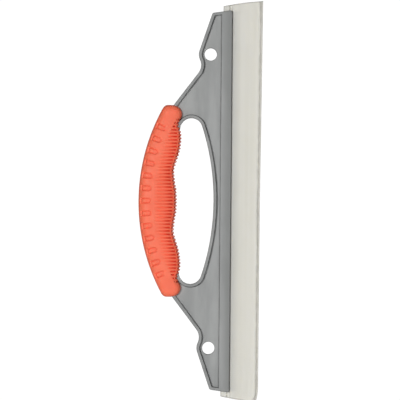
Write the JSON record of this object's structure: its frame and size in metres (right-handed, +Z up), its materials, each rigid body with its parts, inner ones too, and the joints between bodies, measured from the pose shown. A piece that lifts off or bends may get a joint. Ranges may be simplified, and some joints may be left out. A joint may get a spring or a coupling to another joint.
{
  "type": "squeegee",
  "caption": "Hand-held squeegee with a flexible silicone wiping blade along one side and a curved soft-grip handle behind a finger window.",
  "frame": {"origin": "centre of the upper hang hole, in the middle of the web's thickness", "axes": "+Z up along the blade's length, +X towards the working edge, +Y along the hang holes"},
  "size_m": [0.0935, 0.023, 0.3048],
  "materials": {
    "frame_plastic": "satin moulded grey plastic",
    "grip_rubber": "soft matte coral-orange rubber",
    "blade_silicone": "translucent warm-grey silicone"
  },
  "bodies": {
    "handle": {"frame": "frame_plastic", "grip": "grip_rubber"},
    "blade": {"blade": "blade_silicone"}
  },
  "joints": [
    {"name": "blade_slide", "type": "slide", "parent": "handle", "child": "blade", "axis": [0, 0, 1], "range_m": [-0.293, 0.293]}
  ]
}
